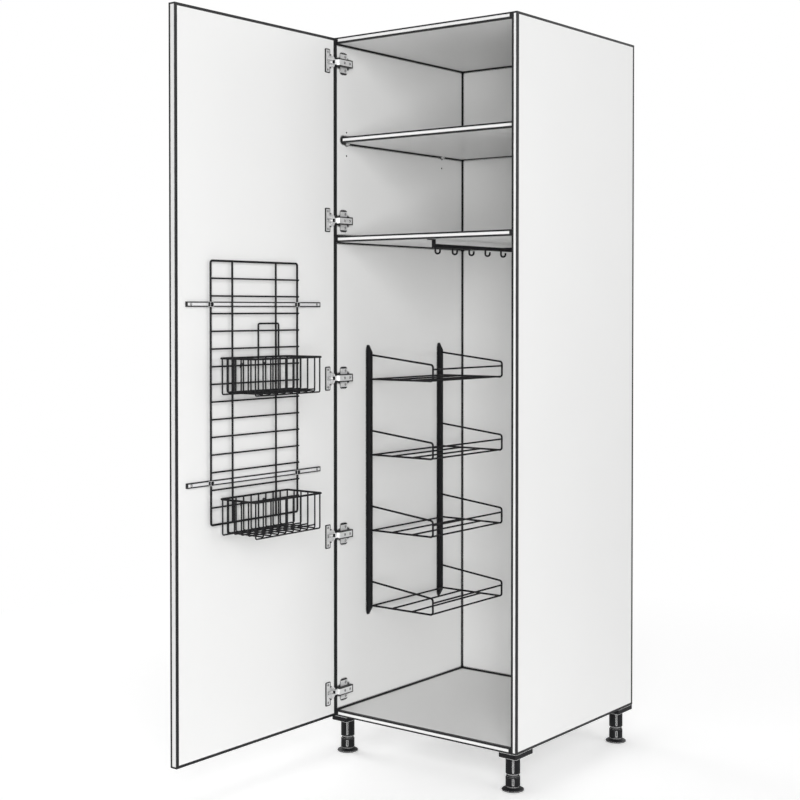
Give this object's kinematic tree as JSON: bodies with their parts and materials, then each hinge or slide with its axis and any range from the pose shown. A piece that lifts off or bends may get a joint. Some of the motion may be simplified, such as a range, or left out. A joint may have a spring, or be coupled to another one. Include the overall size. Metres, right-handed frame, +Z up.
{
  "type": "appliance housing cabinet",
  "caption": "Tall broom and cleaning cabinet on adjustable legs, with an open hinged door, a wire grid with hanging baskets, a wire rack, shelves and a hook rail.",
  "frame": {"origin": "on the floor, under the middle of the carcass's front edges; with the door at a right angle this is within 4 mm of the middle of the whole object's base", "axes": "+Z up, +X to the right as seen from the front, +Y into the cabinet"},
  "size_m": [0.606, 1.199, 1.95],
  "materials": {
    "white_board": "white melamine-faced chipboard, satin",
    "white_hardboard": "white-faced hardboard, matt",
    "edge_band": "white plastic edge band",
    "beech_dowel": "plain beech",
    "nickel_steel": "nickel plated",
    "cast_zinc": "cast zinc, plain",
    "rail_aluminium": "clear anodised",
    "black_coated_steel": "black powder coat, satin",
    "black_plastic": "black moulded plastic"
  },
  "bodies": {
    "carcass": {"left_side": "white_board", "right_side": "white_board", "top_panel": "white_board", "bottom_panel": "white_board", "back_panel": "white_hardboard", "fixed_shelf": "white_board", "adjustable_shelf": "white_board", "edge_bands": "edge_band", "shelf_edge_band": "edge_band", "shelf_pins": "nickel_steel", "carcass_dowels": "beech_dowel", "cam_bolts": "nickel_steel", "cam_locks": "cast_zinc", "back_screws": "nickel_steel", "leg_socket_front_left": "black_plastic", "leg_socket_front_right": "black_plastic", "leg_socket_rear_left": "black_plastic", "leg_socket_rear_right": "black_plastic", "leg_screws": "nickel_steel", "hinge_plates": "nickel_steel", "hinge_arms": "nickel_steel", "hinge_arm_pins": "nickel_steel", "hinge_arm_screws": "nickel_steel", "hinge_plate_screws": "nickel_steel", "rack_upright_front": "black_coated_steel", "rack_upright_rear": "black_coated_steel", "rack_tray_1": "black_coated_steel", "rack_tray_2": "black_coated_steel", "rack_tray_3": "black_coated_steel", "rack_tray_4": "black_coated_steel", "rack_screws": "nickel_steel", "hook_rail": "black_coated_steel", "rail_hooks": "black_coated_steel", "hook_rail_screws": "nickel_steel"},
    "door": {"door": "white_board", "door_edge_bands": "edge_band", "hinge_cups": "nickel_steel", "hinge_cup_pins": "nickel_steel", "hinge_cup_screws": "nickel_steel", "door_rail_lower": "rail_aluminium", "door_rail_upper": "rail_aluminium", "door_rail_screws": "nickel_steel", "door_grid": "black_coated_steel", "grid_clips": "black_plastic"},
    "hinge_links": {"hinge_links": "nickel_steel"},
    "basket_lower": {"basket_lower": "black_coated_steel"},
    "basket_upper": {"basket_upper": "black_coated_steel"},
    "foot_front_left": {"leg_foot_front_left": "black_plastic"},
    "foot_front_right": {"leg_foot_front_right": "black_plastic"},
    "foot_rear_left": {"leg_foot_rear_left": "black_plastic"},
    "foot_rear_right": {"leg_foot_rear_right": "black_plastic"}
  },
  "joints": [
    {"name": "door_swing", "type": "hinge", "parent": "carcass", "child": "door", "pos_m": [-0.291, -0.01, 1.025], "axis": [0, 0, -1], "range_deg": [-90, 10]},
    {"name": "hinge_link_turn", "type": "hinge", "parent": "carcass", "child": "hinge_links", "pos_m": [-0.28794, -0.01257, 1.025], "axis": [0, 0, -1], "range_deg": [-106.5, 12.5]},
    {"name": "basket_lower_lift", "type": "slide", "parent": "door", "child": "basket_lower", "axis": [0, 0, 1], "range_m": [0, 0.018]},
    {"name": "basket_upper_lift", "type": "slide", "parent": "door", "child": "basket_upper", "axis": [0, 0, 1], "range_m": [0, 0.018]},
    {"name": "foot_front_left_screw", "type": "slide", "parent": "carcass", "child": "foot_front_left", "axis": [0, 0, -1], "range_m": [-0.0035, 0.02]},
    {"name": "foot_front_right_screw", "type": "slide", "parent": "carcass", "child": "foot_front_right", "axis": [0, 0, -1], "range_m": [-0.0035, 0.02]},
    {"name": "foot_rear_left_screw", "type": "slide", "parent": "carcass", "child": "foot_rear_left", "axis": [0, 0, -1], "range_m": [-0.0035, 0.02]},
    {"name": "foot_rear_right_screw", "type": "slide", "parent": "carcass", "child": "foot_rear_right", "axis": [0, 0, -1], "range_m": [-0.0035, 0.02]}
  ],
  "couplings": [
    {"joint": "hinge_link_turn", "follows": "door_swing", "ratio": 1.1766}
  ]
}
